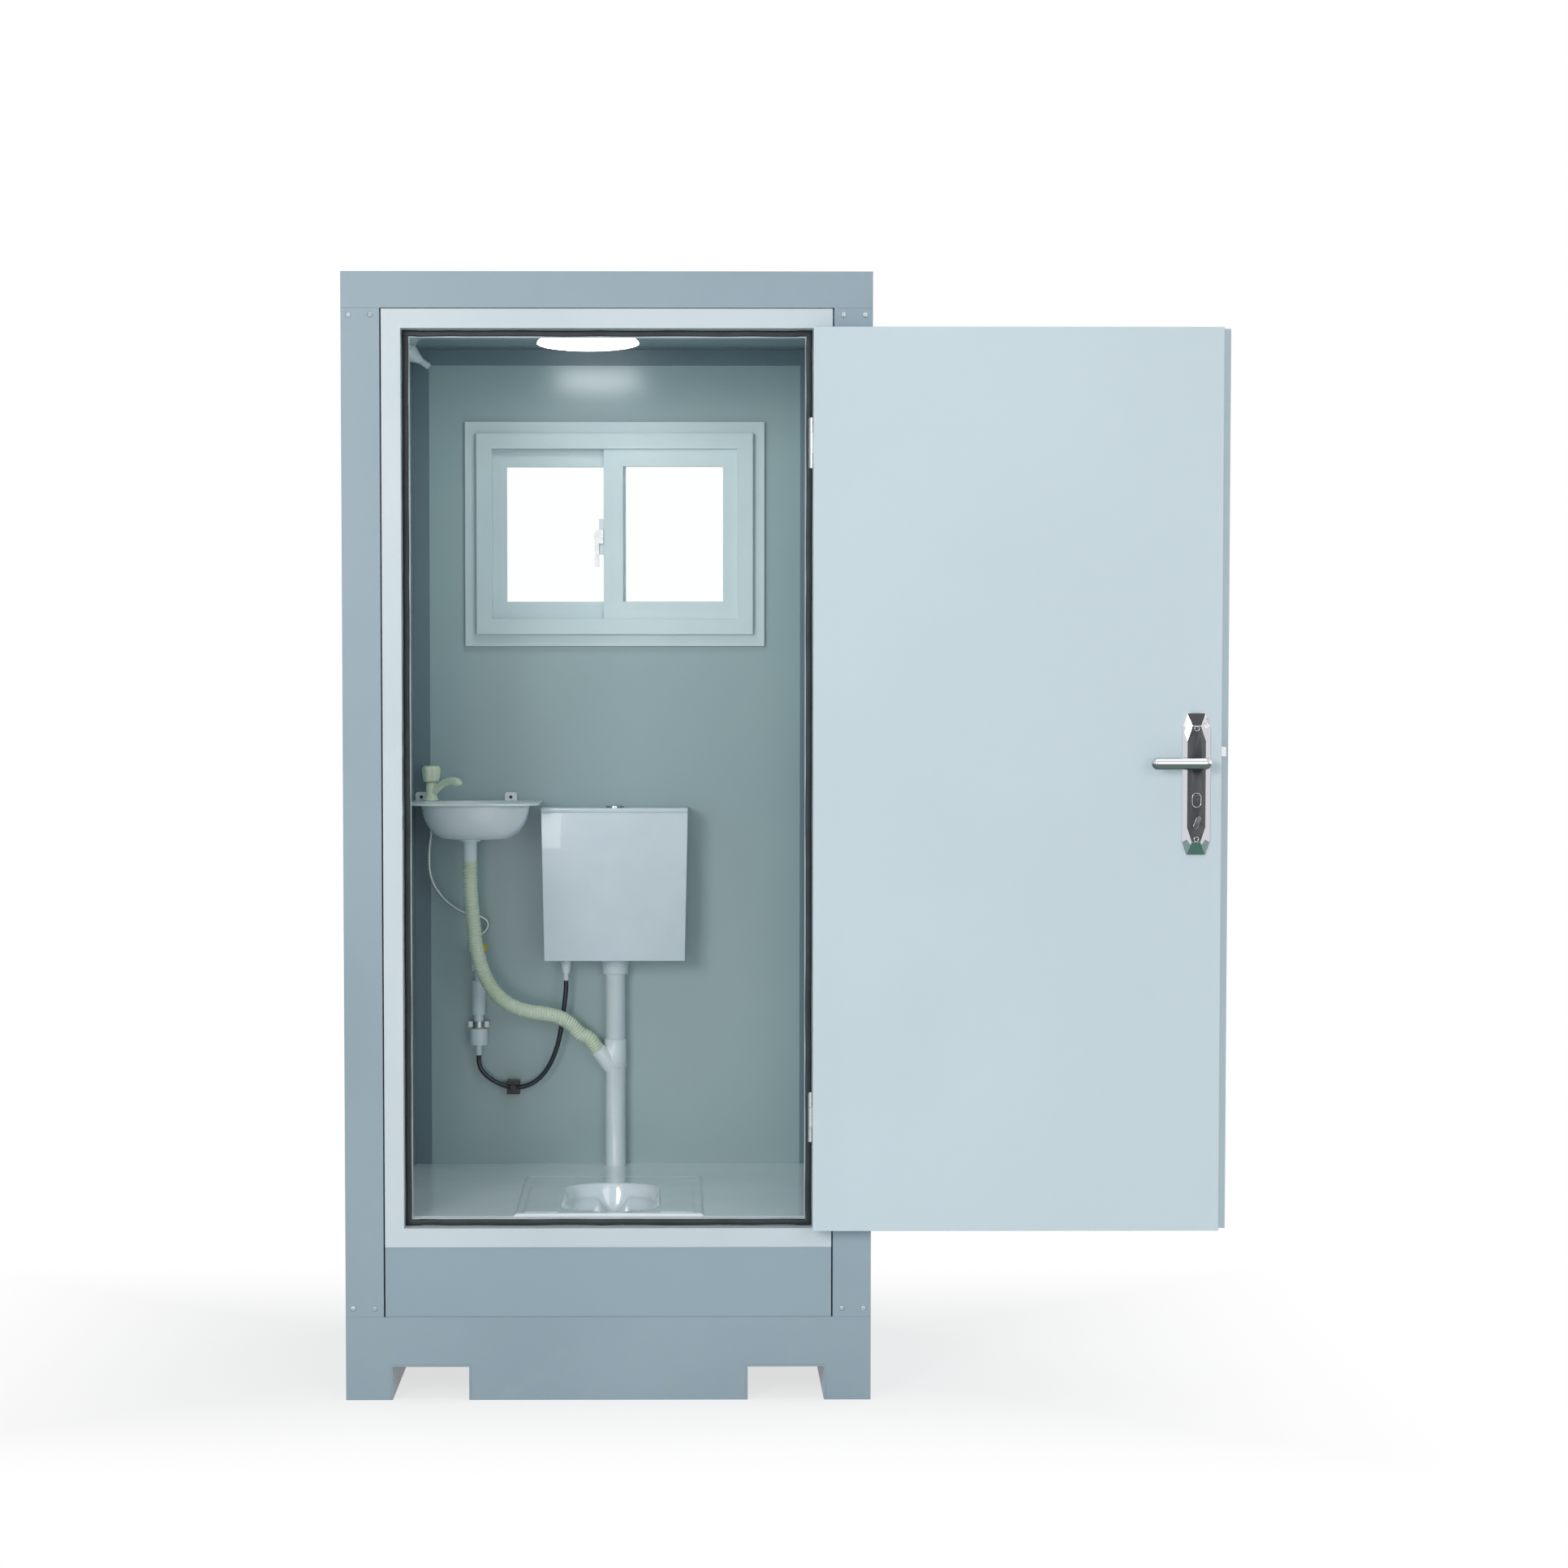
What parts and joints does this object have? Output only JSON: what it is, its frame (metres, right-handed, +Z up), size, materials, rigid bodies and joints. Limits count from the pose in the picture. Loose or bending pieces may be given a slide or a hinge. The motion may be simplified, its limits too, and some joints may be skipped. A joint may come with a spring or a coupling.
{
  "type": "toilet container",
  "caption": "Steel framed toilet cabin with a squat pan, wall cistern, corner wash basin, sliding window, ceiling lamp and a lockable door folded right back",
  "frame": {"origin": "middle of the footprint on the ground", "axes": "+X to the right seen from the door side, +Y to the rear wall, +Z up"},
  "size_m": [1.839, 1.2215, 2.35],
  "materials": {
    "frame_paint": "satin blue grey paint",
    "panel_face": "coated sandwich panel",
    "door_face": "coated sandwich door",
    "white_profile": "white coated profile",
    "floor_sheet": "board with a glossy grey coating",
    "gasket_rubber": "black sealing rubber",
    "steel_zinc": "plain steel",
    "lock_chrome": "polished chrome",
    "pane_glass": "clear glass",
    "lamp_white": "opal plastic",
    "fitting_white": "white plastic",
    "basin_white": "glossy white plastic",
    "tap_cream": "cream plastic",
    "hose_green": "pale green ribbed hose",
    "hose_braid": "braided hose",
    "hose_black": "black hose",
    "handle_yellow": "yellow plastic",
    "pan_ceramic": "white glaze"
  },
  "bodies": {
    "cabin": {"base_frame": "frame_paint", "fork_channels": "frame_paint", "floor_frame": "frame_paint", "floor_board": "floor_sheet", "infill_panel": "panel_face", "corner_posts": "frame_paint", "roof_beams": "frame_paint", "roof_panel": "panel_face", "wall_left": "panel_face", "wall_right": "panel_face", "wall_rear": "panel_face", "corner_trims": "white_profile", "frame_screws": "steel_zinc", "door_frame": "white_profile", "door_gasket": "gasket_rubber", "strike_plate": "steel_zinc", "hinge_frame_halves": "steel_zinc", "window_frame": "white_profile", "lamp_base": "fitting_white", "lamp_diffuser": "lamp_white", "cable_gland": "fitting_white", "switch_plate": "fitting_white", "basin": "basin_white", "basin_waste": "fitting_white", "tap_body": "tap_cream", "drain_hose": "hose_green", "supply_hose": "hose_braid", "stop_valve": "fitting_white", "riser_pipe": "fitting_white", "pipe_clamp": "steel_zinc", "hose_clip": "hose_black", "cistern_hose": "hose_black", "cistern_tank": "fitting_white", "fill_valve": "fitting_white", "outlet_valve": "fitting_white", "flush_pipe": "fitting_white", "drain_tee": "fitting_white", "squat_pan": "pan_ceramic", "waste_trap": "fitting_white"},
    "door": {"door_leaf": "door_face", "lock_case": "steel_zinc", "lock_plates": "lock_chrome", "hinge_door_halves": "steel_zinc"},
    "lever": {"lever_handles": "lock_chrome"},
    "latch": {"latch_bolt": "steel_zinc"},
    "thumb": {"thumb_turn": "lock_chrome"},
    "bolt": {"dead_bolt": "steel_zinc"},
    "left_sash": {"sash_left": "white_profile", "pane_left": "pane_glass"},
    "right_sash": {"sash_right": "white_profile", "pane_right": "pane_glass", "window_latch_base": "fitting_white"},
    "window_latch": {"window_latch_lever": "steel_zinc"},
    "tap": {"tap_knob": "tap_cream"},
    "valve": {"valve_handle": "handle_yellow"},
    "switch": {"switch_rocker": "fitting_white"},
    "lid": {"cistern_lid": "fitting_white"},
    "button": {"flush_button": "lock_chrome"},
    "plunger": {"valve_plunger": "fitting_white"},
    "float": {"float_cup": "fitting_white"}
  },
  "joints": [
    {"name": "door_swing", "type": "hinge", "parent": "cabin", "child": "door", "pos_m": [0.424, -0.5605, 1.296], "axis": [0, 0, 1], "range_deg": [-180, 0]},
    {"name": "lever_turn", "type": "hinge", "parent": "door", "child": "lever", "pos_m": [1.217, -0.59, 1.336], "axis": [0, -1, 0], "range_deg": [0, 45], "stiffness_Nm_per_rad": 0.6},
    {"name": "latch_slide", "type": "slide", "parent": "door", "child": "latch", "axis": [-1, 0, 0], "range_m": [0, 0.012]},
    {"name": "thumb_turn", "type": "hinge", "parent": "door", "child": "thumb", "pos_m": [1.217, -0.62, 1.214], "axis": [0, 1, 0], "range_deg": [0, 90]},
    {"name": "bolt_slide", "type": "slide", "parent": "door", "child": "bolt", "axis": [1, 0, 0], "range_m": [0, 0.015]},
    {"name": "left_sash_slide", "type": "slide", "parent": "cabin", "child": "left_sash", "axis": [1, 0, 0], "range_m": [0, 0.27]},
    {"name": "right_sash_slide", "type": "slide", "parent": "cabin", "child": "right_sash", "axis": [-1, 0, 0], "range_m": [0, 0.23]},
    {"name": "window_latch_turn", "type": "hinge", "parent": "right_sash", "child": "window_latch", "pos_m": [-0.031, 0.449, 1.84], "axis": [0, 1, 0], "range_deg": [0, 180]},
    {"name": "tap_turn", "type": "hinge", "parent": "cabin", "child": "tap", "pos_m": [-0.424, 0.4, 1.29], "axis": [0, 0, 1], "range_deg": [0, 180]},
    {"name": "valve_turn", "type": "hinge", "parent": "cabin", "child": "valve", "pos_m": [-0.318, 0.416, 0.888], "axis": [0, 1, 0], "range_deg": [0, 90]},
    {"name": "switch_rock", "type": "hinge", "parent": "cabin", "child": "switch", "pos_m": [0.4655, -0.33, 1.5], "axis": [0, 1, 0], "range_deg": [-6, 0]},
    {"name": "lid_lift", "type": "slide", "parent": "cabin", "child": "lid", "axis": [0, 0, 1], "range_m": [0, 0.1]},
    {"name": "button_press", "type": "slide", "parent": "lid", "child": "button", "axis": [0, 0, -1], "range_m": [0, 0.006], "stiffness_N_per_m": 400},
    {"name": "plunger_lift", "type": "slide", "parent": "cabin", "child": "plunger", "axis": [0, 0, 1], "range_m": [0, 0.012]},
    {"name": "float_travel", "type": "slide", "parent": "cabin", "child": "float", "axis": [0, 0, -1], "range_m": [0, 0.06]}
  ],
  "couplings": [
    {"joint": "latch_slide", "follows": "lever_turn", "m_per_rad": 0.01527},
    {"joint": "thumb_turn", "follows": "bolt_slide", "rad_per_m": 104.7},
    {"joint": "plunger_lift", "follows": "button_press", "ratio": 2}
  ]
}
